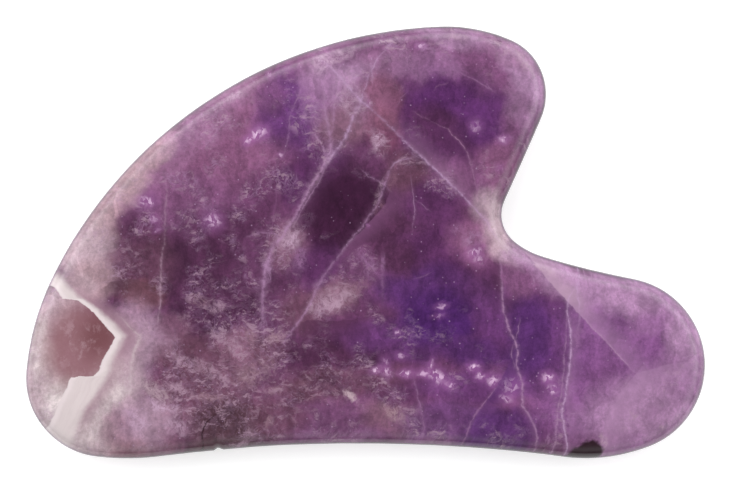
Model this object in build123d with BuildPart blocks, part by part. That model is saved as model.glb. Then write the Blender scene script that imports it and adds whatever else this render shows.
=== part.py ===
from build123d import *

import os
from collections import namedtuple
from math import asin, atan2, cos, degrees, radians, sin, sqrt, tan

# Gua sha scraper: one hand-held massage plate, ground and polished from a single piece of banded amethyst.
#
# Frame: millimetres, +Z up, the plate lies flat on its underside. The origin is on the underside, at the
# middle of the plate's length (X) and width (Y). Seen from above, the rounded heel is at -X, the blunt nose
# is at +X, the taller crown is at +Y beside the jaw notch, and the long, slightly hollow scraping edge, the
# sole, runs along -Y.
#
# The outline is a closed chain of arcs with one straight flank, and every joint in it is tangent. A radius
# has a sign: positive where the edge bulges out, negative where it is hollow. Two arcs a and b that run into
# each other share the outward normal n at their joint, so b.centre - a.centre = (a.radius - b.radius) * n.

# Overall sizes
overall_length = 86.0
overall_width = 54.7
thickness = 6.4

# Heel, the broad rounded end
heel_radius = 10.0
heel_pad_radius = 33.0  # the flatter arc under the heel
heel_pad_run = 3.0  # from the heel's centre along to where the pad touches the bottom edge

# Nose, the blunt end that works along the cheekbone
nose_radius = 11.1
nose_pad_radius = 22.0
nose_pad_run = 3.9

# Sole, the long hollow scraping edge between the two pads
sole_radius = 197.0

# Back, the long bulging edge from the crown down to the heel: a flatter arc, then a rounder one, the haunch
back_lean = 1.4  # degrees past the brow's highest point to where the back begins
haunch_lift = 5.0  # degrees up from the heel's outermost point to where the haunch ends
back_share = 0.823  # how much of the turning the back does: more makes the haunch shorter and tighter

# Crown, the taller of the two lobes
brow_radius = 20.0
brow_run = 5.1  # from the top of the brow along to the crown's centre
crown_radius = 7.5
crown_setback = 20.1  # from the nose's end back to the crown's outermost point

# Notch between the lobes, where the jawline sits
notch_radius = 4.4
notch_setback = 21.4  # from the nose's end back to the notch's centre
notch_above_middle = 3.5
throat_radius = 9.9  # the notch opens out through this arc
throat_turn = 39.0  # degrees from straight down to where the throat begins
shoulder_radius = 100.0  # the nearly straight edge from the throat to the nose
shoulder_land = 0.25  # least gap between the nose's circle and the throat's, for the shoulder to cross

# Edge, ground to the same section all round, on both faces
bevel_width = 4.6  # how far in from the outline the face starts to fall away
bevel_drop = 0.75  # how far it has fallen at the outline
bevel_blend = 14.0  # radius that eases the flat face into the bevel
rim_radius = 2.3  # radius of the rounded rim
rim_land = 0.05  # least height of wall left between the two rim roundings
edge_search = 0.01  # how near to a height an edge has to lie to be picked

heel_end = -overall_length / 2
nose_end = overall_length / 2
top_line = overall_width / 2
sole_line = -overall_width / 2

Round = namedtuple("Round", "centre radius")


def facing(direction):
    """The unit vector at this many degrees anticlockwise from +X."""
    return Vector(cos(radians(direction)), sin(radians(direction)))


def touch(before, after):
    """The point where two arcs that run into each other meet."""
    normal = (after.centre - before.centre) / (before.radius - after.radius)
    return before.centre + normal * before.radius


def blend(before, after, radius):
    """The arc of this signed radius that runs out of one arc and into another, going anticlockwise."""
    span = after.centre - before.centre
    reach_before = abs(radius - before.radius)
    reach_after = abs(radius - after.radius)
    along = (reach_before**2 - reach_after**2 + span.length**2) / (2 * span.length)
    aside = sqrt(reach_before**2 - along**2)
    forward = span.normalized()
    inward = Vector(-forward.Y, forward.X)
    side = 1 if radius > 0 else -1
    return Round(before.centre + forward * along + inward * aside * side, radius)


def straight(before, after):
    """The two ends of the straight edge that is tangent to a hollow arc and then to a bulging one."""
    span = after.centre - before.centre
    lean = degrees(asin((before.radius - after.radius) / span.length))
    normal = span.normalized().rotate(Axis.Z, lean - 90)
    return before.centre + normal * before.radius, after.centre + normal * after.radius


def depth_under_pad(pad_radius, radius, run):
    """How far a round's centre lies in from the line that its flatter pad touches."""
    return pad_radius - sqrt((pad_radius - radius) ** 2 - run**2)


def heel_arcs():
    """The heel and the flatter pad under it."""
    depth = depth_under_pad(heel_pad_radius, heel_radius, heel_pad_run)
    heel = Round(Vector(heel_end + heel_radius, sole_line + depth), heel_radius)
    pad = Round(Vector(heel.centre.X + heel_pad_run, sole_line + heel_pad_radius), heel_pad_radius)
    return heel, pad


def nose_arcs():
    """The flatter pad under the nose, and the nose."""
    depth = depth_under_pad(nose_pad_radius, nose_radius, nose_pad_run)
    nose = Round(Vector(nose_end - nose_radius, sole_line + depth), nose_radius)
    pad = Round(Vector(nose.centre.X - nose_pad_run, sole_line + nose_pad_radius), nose_pad_radius)
    return pad, nose


def notch_arcs(nose):
    """The throat that opens the notch out, limited to what has room beside the nose, and the notch."""
    notch = Round(Vector(nose_end - notch_setback, notch_above_middle), -notch_radius)
    away_from_joint = Vector(sin(radians(throat_turn)), cos(radians(throat_turn)))
    from_nose = notch.centre - nose.centre
    closest = nose.radius + shoulder_land + notch_radius
    spare = (from_nose.length**2 - closest**2) / (2 * (closest - from_nose.dot(away_from_joint)))
    growth = min(throat_radius - notch_radius, spare)
    throat = Round(notch.centre + away_from_joint * growth, -notch_radius - growth)
    return throat, notch


def crown_arcs():
    """The crown and the flatter brow on top of it."""
    depth = depth_under_pad(brow_radius, crown_radius, brow_run)
    crown = Round(Vector(nose_end - crown_setback - crown_radius, top_line - depth), crown_radius)
    brow = Round(Vector(crown.centre.X - brow_run, top_line - brow_radius), brow_radius)
    return crown, brow


def back_arcs(brow, heel):
    """The back and the haunch, which run from the brow's end to the heel, whatever radii that takes.

    The back's chord and the haunch's chord lean to either side of the line between the two ends. That gives
    the directions their joint may face, and back_share picks one of them.
    """
    start_facing = 90 + back_lean
    end_facing = 180 - haunch_lift
    start = brow.centre + facing(start_facing) * brow.radius
    end = heel.centre + facing(end_facing) * heel.radius
    span = end - start
    middle_facing = degrees(atan2(-span.X, span.Y))
    least = max(start_facing, 2 * middle_facing - end_facing)
    most = min(end_facing, 2 * middle_facing - start_facing)
    joint = facing(least + back_share * (most - least))

    back_chord = joint - facing(start_facing)
    haunch_chord = facing(end_facing) - joint
    cross = back_chord.X * haunch_chord.Y - back_chord.Y * haunch_chord.X
    back_radius = (span.X * haunch_chord.Y - span.Y * haunch_chord.X) / cross
    haunch_radius = (back_chord.X * span.Y - back_chord.Y * span.X) / cross
    back = Round(start - facing(start_facing) * back_radius, back_radius)
    haunch = Round(end - facing(end_facing) * haunch_radius, haunch_radius)
    return back, haunch


def outline_pieces():
    """The outline's pieces, anticlockwise: the start, the end and the signed radius, or None if straight."""
    heel, heel_pad = heel_arcs()
    nose_pad, nose = nose_arcs()
    throat, notch = notch_arcs(nose)
    crown, brow = crown_arcs()
    sole = blend(heel_pad, nose_pad, -sole_radius)
    shoulder = blend(nose, throat, -shoulder_radius)
    back, haunch = back_arcs(brow, heel)

    flank_start, flank_end = straight(notch, crown)
    lower = [haunch, heel, heel_pad, sole, nose_pad, nose, shoulder, throat, notch]
    upper = [crown, brow, back, haunch]
    lower_joints = [touch(a, b) for a, b in zip(lower, lower[1:])] + [flank_start]
    upper_joints = [flank_end] + [touch(a, b) for a, b in zip(upper, upper[1:])]
    joints = lower_joints + upper_joints + lower_joints[:1]
    radii = [arc.radius for arc in lower[1:]] + [None] + [arc.radius for arc in upper]
    return zip(joints, joints[1:], radii)


def rim_rounding():
    """The rim's radius, limited to what the wall between the two bevels has room for."""
    bevel_angle = degrees(atan2(bevel_drop, bevel_width))
    wall = thickness / 2 - bevel_drop - rim_land / 2
    return min(rim_radius, wall / tan(radians((90 - bevel_angle) / 2)))


with BuildPart() as scraper:
    with BuildSketch():
        with BuildLine():
            for start, end, radius in outline_pieces():
                if radius is None:
                    Line(start, end)
                else:
                    RadiusArc(start, end, -radius)
        make_face()
    extrude(amount=thickness)

    # Both faces fall away towards the outline, the rim is rounded, and the flat eases into the bevel.
    chamfer(scraper.faces().filter_by(Axis.Z).edges(), length=bevel_drop, length2=bevel_width)
    for height in (bevel_drop, thickness - bevel_drop):
        rim_edges = scraper.edges().filter_by_position(Axis.Z, height - edge_search, height + edge_search)
        fillet(rim_edges, rim_rounding())
    fillet(scraper.faces().filter_by(Axis.Z).edges(), bevel_blend)

scraper.part.label = "scraper"
os.makedirs("parts", exist_ok=True)
export_step(scraper.part, "parts/scraper.step")
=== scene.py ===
import math

import bmesh
import bpy
import numpy as np
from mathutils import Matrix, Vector, noise
from mathutils.geometry import delaunay_2d_cdt


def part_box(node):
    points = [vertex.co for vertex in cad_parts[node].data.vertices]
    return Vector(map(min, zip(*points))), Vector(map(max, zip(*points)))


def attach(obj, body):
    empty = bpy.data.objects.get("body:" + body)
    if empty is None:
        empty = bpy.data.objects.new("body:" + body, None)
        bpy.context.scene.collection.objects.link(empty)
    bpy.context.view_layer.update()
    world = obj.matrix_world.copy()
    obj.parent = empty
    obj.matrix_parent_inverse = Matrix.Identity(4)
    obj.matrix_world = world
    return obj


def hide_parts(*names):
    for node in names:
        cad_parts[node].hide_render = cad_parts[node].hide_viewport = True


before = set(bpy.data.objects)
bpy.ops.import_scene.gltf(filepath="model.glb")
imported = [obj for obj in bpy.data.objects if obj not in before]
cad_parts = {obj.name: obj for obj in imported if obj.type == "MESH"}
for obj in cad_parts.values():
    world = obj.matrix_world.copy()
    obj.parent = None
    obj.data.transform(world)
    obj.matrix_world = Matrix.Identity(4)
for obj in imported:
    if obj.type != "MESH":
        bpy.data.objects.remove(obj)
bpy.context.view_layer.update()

# Gua sha scraper: one plate of polished banded amethyst.
#
# The plate lies flat, as in the CAD: +X towards the nose, +Y towards the crown, the origin on the
# underside. Lengths are in millimetres, unless a comment says otherwise, and MM turns them into metres.
MM = 0.001

lowest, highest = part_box("scraper")
THICKNESS = (highest.z - lowest.z) / MM
MIDDLE = (highest.z + lowest.z) / 2 / MM

# ---------------------------------------------------------------------------------------------- the mesh

# The edge's section, the same on both faces
BEVEL_WIDTH = 4.6
BEVEL_DROP = 0.75
BEVEL_BLEND = 14.0
RIM_RADIUS = 2.3

# The mesh: how many points there are round the outline and along the section's two curves, how much the
# outline is softened, and how the points on the faces are spaced, with the rows' spacing as a share
OUTLINE_POINTS = 960
OUTLINE_SOFTENING = 0.3
RIM_POINTS = 11
BLEND_POINTS = 7
FACE_GRID = 0.9
ROW_SHARE = 0.866

# The chip in the scraping edge: its middle, how far it reaches towards +X, towards -X and across the edge,
# how deep it is, and how far in from the outline it has died away
CHIP_PLACE = Vector((-18.75, -26.5))
CHIP_FORWARD = 0.8
CHIP_BACK = 0.35
CHIP_ACROSS = 3
CHIP_DEPTH = 0.3
CHIP_FADE = 2.0

# The wander of a surface ground by hand: how far it goes, how fast it changes, and where in the noise it
# starts
WANDERS = [
    (0.05, 0.11, Vector((0, 0, 0))),
    (0.012, 0.35, Vector((7, 3, 1))),
]

# Half the length and half the width that each face has room for in the texture map
MAP_LENGTH = 48.5
MAP_WIDTH = 32.5


def cad_outline(height):
    """The CAD plate's outline at a height, as points in millimetres, in order and anticlockwise."""
    cut = bmesh.new()
    cut.from_mesh(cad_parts["scraper"].data)
    bmesh.ops.remove_doubles(cut, verts=cut.verts, dist=1e-7)
    everything = cut.verts[:] + cut.edges[:] + cut.faces[:]
    plane = Vector((0, 0, height * MM))
    bmesh.ops.bisect_plane(
        cut, geom=everything, plane_co=plane, plane_no=(0, 0, 1), clear_inner=True, clear_outer=True
    )
    bmesh.ops.remove_doubles(cut, verts=cut.verts, dist=1e-6)
    start = cut.verts[:][0]
    before, here, ring = None, start, []
    while here is not None:
        ring.append((here.co.x / MM, here.co.y / MM))
        after = [edge.other_vert(here) for edge in here.link_edges]
        after = [vert for vert in after if vert is not before]
        before, here = here, after[0]
        if here is start:
            here = None
    cut.free()
    ring = np.array(ring)
    x, y = ring.T
    area = np.sum(x * np.roll(y, -1) - np.roll(x, -1) * y) / 2
    return ring if area > 0 else ring[::-1]


def even_outline(ring, count, softening):
    """The outline at evenly spaced points, softened a little, and its outward directions."""
    closed = np.vstack([ring, ring[:1]])
    steps = np.hypot(*np.diff(closed, axis=0).T)
    along = np.concatenate([[0.0], np.cumsum(steps)])
    places = np.linspace(0, along[-1], count, endpoint=False)
    points = np.stack([np.interp(places, along, closed[:, i]) for i in (0, 1)], axis=1)
    turns = np.fft.fftfreq(count, d=along[-1] / count)
    keep = np.exp(-2 * (np.pi * turns * softening) ** 2)[:, None]
    points = np.fft.ifft(np.fft.fft(points, axis=0) * keep, axis=0).real
    forward = np.roll(points, -1, axis=0) - np.roll(points, 1, axis=0)
    forward /= np.hypot(*forward.T)[:, None]
    outward = np.stack([forward[:, 1], -forward[:, 0]], axis=1)
    return points, outward


def edge_section():
    """The edge's section as (depth in from the outline, height above the middle), from the equator up."""
    half = THICKNESS / 2
    slope = math.atan2(BEVEL_DROP, BEVEL_WIDTH)
    wall = half - BEVEL_DROP - RIM_RADIUS * math.tan((math.pi / 2 - slope) / 2)
    section = [(0.0, 0.0), (0.0, wall * 0.6)]
    for turn in np.linspace(0, math.pi / 2 - slope, RIM_POINTS):
        section.append((RIM_RADIUS * (1 - math.cos(turn)), wall + RIM_RADIUS * math.sin(turn)))
    reach = BEVEL_BLEND * math.tan(slope / 2)
    blend_start = BEVEL_WIDTH - reach * math.cos(slope)
    rim_end = section[-1]
    for share in (0.33, 0.67):
        depth = rim_end[0] + (blend_start - rim_end[0]) * share
        section.append((depth, rim_end[1] + (depth - rim_end[0]) * math.tan(slope)))
    for turn in np.linspace(slope, 0, BLEND_POINTS):
        depth = BEVEL_WIDTH + reach - BEVEL_BLEND * math.sin(turn)
        section.append((depth, half - BEVEL_BLEND * (1 - math.cos(turn))))
    return section


def chip_depth(x, y):
    """How far the rim is knocked in beside the crack in the scraping edge."""
    reach = CHIP_FORWARD if x > CHIP_PLACE.x else CHIP_BACK
    near = math.hypot((x - CHIP_PLACE.x) / reach, (y - CHIP_PLACE.y) / CHIP_ACROSS)
    return CHIP_DEPTH * max(0.0, 1 - near * near) ** 2


def hand_ground(x, y, z):
    """The slight wander of a surface that was ground and polished by hand."""
    return sum(amount * noise.noise(Vector((x, y, z)) * rate + start) for amount, rate, start in WANDERS)


def plate_mesh():
    """The plate as one closed mesh, and where each of its points lies when its rings are laid out flat."""
    ring, outward = even_outline(cad_outline(MIDDLE), OUTLINE_POINTS, OUTLINE_SOFTENING)
    section = edge_section()
    plate = bmesh.new()
    flat_place = {}

    def add(x, y, z, flat, facing):
        wander = hand_ground(x, y, z)
        place = [(at + towards * wander) * MM for at, towards in zip((x, y, z), facing)]
        vert = plate.verts.new(place)
        flat_place[vert] = flat
        return vert

    def ring_at(depth, height, spread, side, tilt):
        verts = []
        for (x, y), (nx, ny) in zip(ring, outward):
            inset = depth + chip_depth(x, y) * max(0.0, 1 - depth / CHIP_FADE)
            facing = (nx * math.cos(tilt), ny * math.cos(tilt), side * math.sin(tilt))
            flat = (x + nx * spread, y + ny * spread)
            verts.append(add(x - nx * inset, y - ny * inset, MIDDLE + side * height, flat, facing))
        return verts

    steps = np.hypot(*np.diff(np.array(section), axis=0).T)
    lengths = np.concatenate([[0.0], np.cumsum(steps)])
    inner_depth = section[-1][0]
    equator = ring_at(0.0, 0.0, lengths[-1] - inner_depth, 1, 0.0)
    last = len(section) - 1
    for side in (1, -1):
        outer = equator
        for i, (depth, height) in enumerate(section[1:], start=1):
            before = section[i - 1]
            after = section[min(i + 1, last)]
            tilt = math.atan2(after[0] - before[0], after[1] - before[1]) if i < last else math.pi / 2
            spread = lengths[-1] - lengths[i] - inner_depth
            inner = ring_at(depth, height, spread, side, tilt)
            for j in range(OUTLINE_POINTS):
                k = (j + 1) % OUTLINE_POINTS
                corners = [outer[j], outer[k], inner[k], inner[j]]
                plate.faces.new(corners if side > 0 else corners[::-1])
            outer = inner
        fill_face(plate, outer, side, add)
    return plate, flat_place


def fill_face(plate, border, side, add):
    """Fills one flat face inside its border with even triangles."""
    rim = [Vector((v.co.x / MM, v.co.y / MM)) for v in border]
    low = Vector((min(p.x for p in rim), min(p.y for p in rim)))
    high = Vector((max(p.x for p in rim), max(p.y for p in rim)))
    polygon = np.array(rim)
    centres = []
    rows = int((high.y - low.y) / (FACE_GRID * ROW_SHARE))
    for row in range(1, rows):
        y = low.y + row * FACE_GRID * ROW_SHARE
        shift = FACE_GRID / 2 if row % 2 else 0.0
        for x in np.arange(low.x + shift, high.x, FACE_GRID):
            if np.hypot(*(polygon - (x, y)).T).min() > FACE_GRID * 0.5:
                centres.append(Vector((x, y)))
    count = len(rim)
    edges = [(i, (i + 1) % count) for i in range(count)]
    points, _, faces, sources, _, _ = delaunay_2d_cdt(rim + centres, edges, [], 1, 1e-6)
    height = MIDDLE + side * THICKNESS / 2
    verts = []
    for point, source in zip(points, sources):
        if source and source[0] < count:
            verts.append(border[source[0]])
        else:
            verts.append(add(point.x, point.y, height, (point.x, point.y), (0, 0, side)))
    for face in faces:
        corners = [verts[i] for i in face]
        plate.faces.new(corners if side > 0 else corners[::-1])


def make_plate():
    """The plate as an object, smooth shaded, with the top above the underside in its texture map."""
    plate, flat_place = plate_mesh()
    loose = [vert for vert in plate.verts if not vert.link_faces]
    bmesh.ops.delete(plate, geom=loose, context="VERTS")
    layer = plate.loops.layers.uv.new("OFBake")
    spread_x = 1 / (2 * MAP_LENGTH)
    spread_y = 1 / (4 * MAP_WIDTH)
    for face in plate.faces:
        face.smooth = True
        middle = 0.75 if face.calc_center_median().z / MM > MIDDLE else 0.25
        for loop in face.loops:
            x, y = flat_place[loop.vert]
            loop[layer].uv = (0.5 + x * spread_x, middle + y * spread_y)
    data = bpy.data.meshes.new("amethyst_plate")
    plate.to_mesh(data)
    plate.free()
    piece = bpy.data.objects.new("amethyst_plate", data)
    bpy.context.scene.collection.objects.link(piece)
    return piece


# ------------------------------------------------------------------------------------ the stone's colours

# The stone's colours, as seen: red, green and blue in hexadecimal
CREAM = "e8e6dc"
MILK = "d0bfc0"
BLUSH = "c0a6a8"
ASH = "bba1af"
MIST = "cfb6c8"
PALE = "b592b2"
LILAC = "a47da2"
MAUVE = "a07a98"
OLD_ROSE = "966687"
ORCHID = "8f6093"
HEATHER = "855a7e"
VIOLET = "6f427a"
ROYAL = "5b3470"
BERRY = "61356b"
INDIGO = "4f2a66"
GRAPE = "5f3560"
PLUM = "55324d"
NIGHT = "42213c"
DUSK = "6e4b5b"
HAZE = "8e6a7a"
FOG = "aa8e96"
UMBER = "5c434b"
SMOKE = "986f72"
TIP = "7b5253"
ROSEWOOD = "8a5566"
AMETHYST = "7b5286"
WINE = "704568"
BASE = WINE
INK = "2b1a1e"
# the painted glints
PAINTED_GLINT = "f3d8f0"
THREAD = "c6a9c8"
IVORY = "f1efe6"
# the painted glow round the glints
PAINTED_GLOW = "b77ab8"

# Soft zones of colour, laid over each other in this order. Each is an ellipse that fades out towards its
# edge: x and y of its middle, half its length, half its width, its turn in degrees, its colour and its
# strength.
ZONES = [
    # the back, paler towards the edge, partly the stone's colour and partly a painted highlight along the
    # bevel
    (-16, 15, 22, 9, 38, OLD_ROSE, 0.9),
    (-22, 13, 14, 3.5, 42, MAUVE, 0.45),
    (-17, 19, 7, 3, 33, MAUVE, 0.5),
    (-10.5, 18, 7, 4, 65, VIOLET, 0.9),
    (-9, 22.5, 6, 2.5, 20, HEATHER, 0.6),
    (-28, 10, 9, 2.5, 48, BLUSH, 0.8),
    (-23.5, 13.5, 5, 2, 42, PALE, 0.3),
    (-8.5, 16, 5, 7, 10, VIOLET, 0.9),
    (-23, 5, 10, 5, 10, HEATHER, 0.7),
    (-28.5, 1.5, 5, 3, 0, WINE, 0.8),
    # the brow and the crown
    (-3.5, 22, 6, 4.5, 20, PALE, 0.9),
    (-5, 18, 3.5, 5, 0, LILAC, 0.6),
    (2, 25, 14, 3, 8, HEATHER, 0.85),
    (10, 25.5, 10, 3, -6, HEATHER, 0.9),
    (1, 17.5, 5, 5, 0, MAUVE, 0.7),
    (-3, 14.5, 5, 4, 60, HAZE, 0.8),
    (18, 21, 7, 7, 0, HEATHER, 0.8),
    (8, 21.5, 7, 4, 0, HEATHER, 0.6),
    (3, 22.5, 5.5, 3, 0, MAUVE, 0.6),
    (10.5, 16.5, 9, 7, -15, BERRY, 0.95),
    (8, 13.8, 7, 4.5, -30, GRAPE, 1.0),
    (10, 14.2, 6, 3, -30, PLUM, 0.5),
    (15.5, 15, 5, 5, 0, BERRY, 0.7),
    (11.5, 26, 6, 2.2, -10, PALE, 0.7),
    # the crown's right side: the stone's paler colour with a painted highlight along the bevel
    (20.5, 21.5, 6, 3, -60, PALE, 0.9),
    (17.5, 24.5, 6, 2, -35, MAUVE, 0.7),
    (19.5, 14.5, 5, 3, 70, HEATHER, 0.9),
    (17, 9, 5, 4, 60, OLD_ROSE, 0.8),
    (12, 8, 6, 3.5, -35, HEATHER, 0.7),
    # partly the stone's milky colour, partly a painted highlight on the notch's bevel
    (16.5, 3.2, 5, 3.5, -60, MILK, 0.75),
    (2.2, 18, 3, 4.5, 20, ROSEWOOD, 0.5),
    (2, 14, 3, 4, 20, ROSEWOOD, 0.5),
    # the dark middle
    (-6, 9, 6, 4, 50, GRAPE, 0.8),
    (-8.6, 6.4, 3, 2, 55, GRAPE, 0.6),
    (-2, 5, 7.5, 6, 20, NIGHT, 1.0),
    (-3, 1.5, 6, 3, 20, NIGHT, 0.9),
    (3, 2, 5, 3, 40, PLUM, 0.8),
    (5, 9, 4, 4, 0, DUSK, 0.8),
    (8.5, 5, 5, 4, 0, GRAPE, 0.8),
    (11, -1, 10, 5, 0, GRAPE, 0.9),
    (8, -6, 10, 4, 0, ROYAL, 0.8),
    (9.5, -10, 8, 4, 0, INDIGO, 1.0),
    (6, -13, 9, 3.5, 0, ROYAL, 0.6),
    (13, -5, 5, 3, 0, PLUM, 0.3),
    (4, -2, 4, 3, 0, PLUM, 0.8),
    (14.5, 0.5, 5.5, 4.5, 0, OLD_ROSE, 0.9),
    (20.5, -12, 5, 8, 0, ROYAL, 0.9),
    (16, -11, 3, 5, 0, GRAPE, 0.8),
    (19.5, -4, 4, 4, 0, HEATHER, 0.9),
    # these two: partly the stone's pale colour, partly a painted highlight on the notch's bevel
    (17.8, 0.4, 5, 3, -50, MILK, 0.7),
    (20.5, -1.5, 4, 2.5, -20, PALE, 0.8),
    (26, -13, 5, 8, 0, VIOLET, 0.8),
    (29, -9, 4, 5, 40, ORCHID, 0.8),
    # the lower edge
    (-2, -22.5, 14, 4, 0, HEATHER, 0.8),
    (4, -22, 6, 3, -15, HAZE, 0.8),
    (-4, -14, 10, 3, 5, PLUM, 0.9),
    (1, -11.5, 7, 3, 0, VIOLET, 0.7),
    (-6, -18, 8, 3, 0, DUSK, 0.9),
    (0, -17, 7, 2.5, 0, DUSK, 0.5),
    (11, -22.5, 9, 4, 0, AMETHYST, 0.7),
    (8, -26, 6, 2, 0, MAUVE, 0.5),
    (17, -24, 7, 4.5, 0, ROYAL, 0.75),
    (26, -20.5, 8, 6, 0, ORCHID, 0.8),
    (14, -18, 12, 2.5, 0, VIOLET, 0.7),
    (14, -14, 5, 3, 0, ROYAL, 0.8),
    (9, -8.5, 7, 4, 0, INDIGO, 0.7),
    # the nose
    (35, -12, 12, 12, 0, ORCHID, 0.9),
    (36, -21, 12, 6, 10, PALE, 0.9),
    # these two: the nose's pale colour with a painted highlight along the bevel of its top and end
    (33, -6.5, 9, 3.5, -12, PALE, 0.95),
    (40.5, -11, 4, 7, 0, PALE, 0.9),
    (34, -26, 6, 3, 0, LILAC, 0.9),
    (40, -17, 5, 4, 0, LILAC, 0.7),
    (25, -5, 5, 3.5, -40, PALE, 1.0),
    # the left of the middle
    (-23, -3, 11, 7, 0, PLUM, 0.95),
    (-12, -4, 6, 4, 70, PLUM, 0.6),
    (-9.4, -0.6, 3.5, 4.5, 20, HAZE, 0.6),
    (-13.6, 2.2, 3, 4, 60, PLUM, 0.7),
    (-18.5, -8.5, 9, 6, 0, PLUM, 0.75),
    (-6, -2.5, 5, 4, 30, GRAPE, 0.9),
    (-8, -9, 4, 4, 0, DUSK, 0.8),
    (-4, -6.5, 4, 3, 20, HAZE, 0.9),
    (0, -3.5, 3, 3, 60, HEATHER, 0.5),
    (-29, -3, 7, 7, 0, DUSK, 0.6),
    (-3.5, 2.2, 5.5, 3.5, 20, NIGHT, 0.75),
    (-19.5, 2, 6, 4, 10, PLUM, 0.5),
    (-28, -6.5, 4.5, 2.5, -15, TIP, 0.5),
    # the granular lower left
    (-15.5, -14, 5, 5, 30, HAZE, 0.8),
    (-22, -14, 6, 4, 0, DUSK, 0.9),
    (-19, -18, 9, 4, -10, DUSK, 0.6),
    (-20, -18, 8, 3, -8, HAZE, 0.3),
    (-24, -19.5, 7, 3.5, -20, DUSK, 0.7),
    (-25, -22, 7, 3.5, -15, HAZE, 0.7),
    (-17, -22.5, 7, 4.5, 0, UMBER, 0.95),
    (-11, -22, 5, 4, 0, DUSK, 0.8),
    (-17.5, -26, 8, 4, 0, UMBER, 1.0),
    (-26, -26, 4, 2.5, 0, HAZE, 0.9),
    (-29, -22.5, 6, 5, 0, ASH, 0.85),
    (-31, -26, 6, 3, 0, SMOKE, 0.6),
    # the heel
    (-33, 5, 9, 4, 52, BLUSH, 0.8),
    (-35, -1, 6, 4, 60, MILK, 0.8),
    (-35, -5, 5, 3.5, 40, BLUSH, 0.9),
    (-30, -14, 5, 9, -10, ASH, 0.8),
    (-39, -12, 6, 12, 12, MILK, 0.9),
    (-40, -20, 5, 7, 20, MILK, 0.9),
    (-36.6, -20.8, 4.8, 6.8, 10, CREAM, 1.0),
    (-35, -24, 5.5, 5, 0, MILK, 0.9),
    (-31.6, -17.4, 4.5, 5.5, -20, MILK, 0.8),
    (-33, -18, 3.5, 5, -20, CREAM, 0.8),
    (-35.6, -22.6, 4, 4, 0, CREAM, 0.7),
    (-27.5, -12.5, 4.5, 4, 0, ASH, 0.4),
    (-36, -5.5, 3.5, 2.5, 40, MILK, 0.6),
    # smaller patches, lighter or darker than what lies round them
    # partly the heel's cream colour, partly a painted highlight along its bevel
    (-40.6, -13, 2.5, 6, 10, CREAM, 0.6),
    (-32.5, 2, 3.5, 2.5, 50, BLUSH, 0.5),
    (-24, -10.5, 3, 2.5, 0, HAZE, 0.5),
    (-24, -14.2, 3.5, 2.5, 0, DUSK, 0.6),
    (-31.4, -22.6, 2.5, 3, 0, HAZE, 0.5),
    (-28.3, 1.5, 3, 2.5, 0, PLUM, 0.5),
    (-20, -18, 4, 2.5, 0, DUSK, 0.6),
    (-12, -14, 3, 2.5, 0, DUSK, 0.6),
    (-4, -18, 4, 2, 0, PLUM, 0.5),
    (-12, 18.5, 3, 3, 0, HEATHER, 0.6),
    (-8.5, 8, 4, 3, 60, GRAPE, 0.6),
    (0.4, 2.2, 2.5, 2.5, 30, PLUM, 0.6),
    (8, 22.6, 6, 2.5, 0, LILAC, 0.5),
    (20.5, 17.5, 3.5, 4, 0, PALE, 0.5),
    (16, -9, 3, 6, 0, VIOLET, 0.6),
    (36, -10, 4, 3, 0, LILAC, 0.5),
]

# --------------------------------------------------------------------------------- the stone's markings

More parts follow.
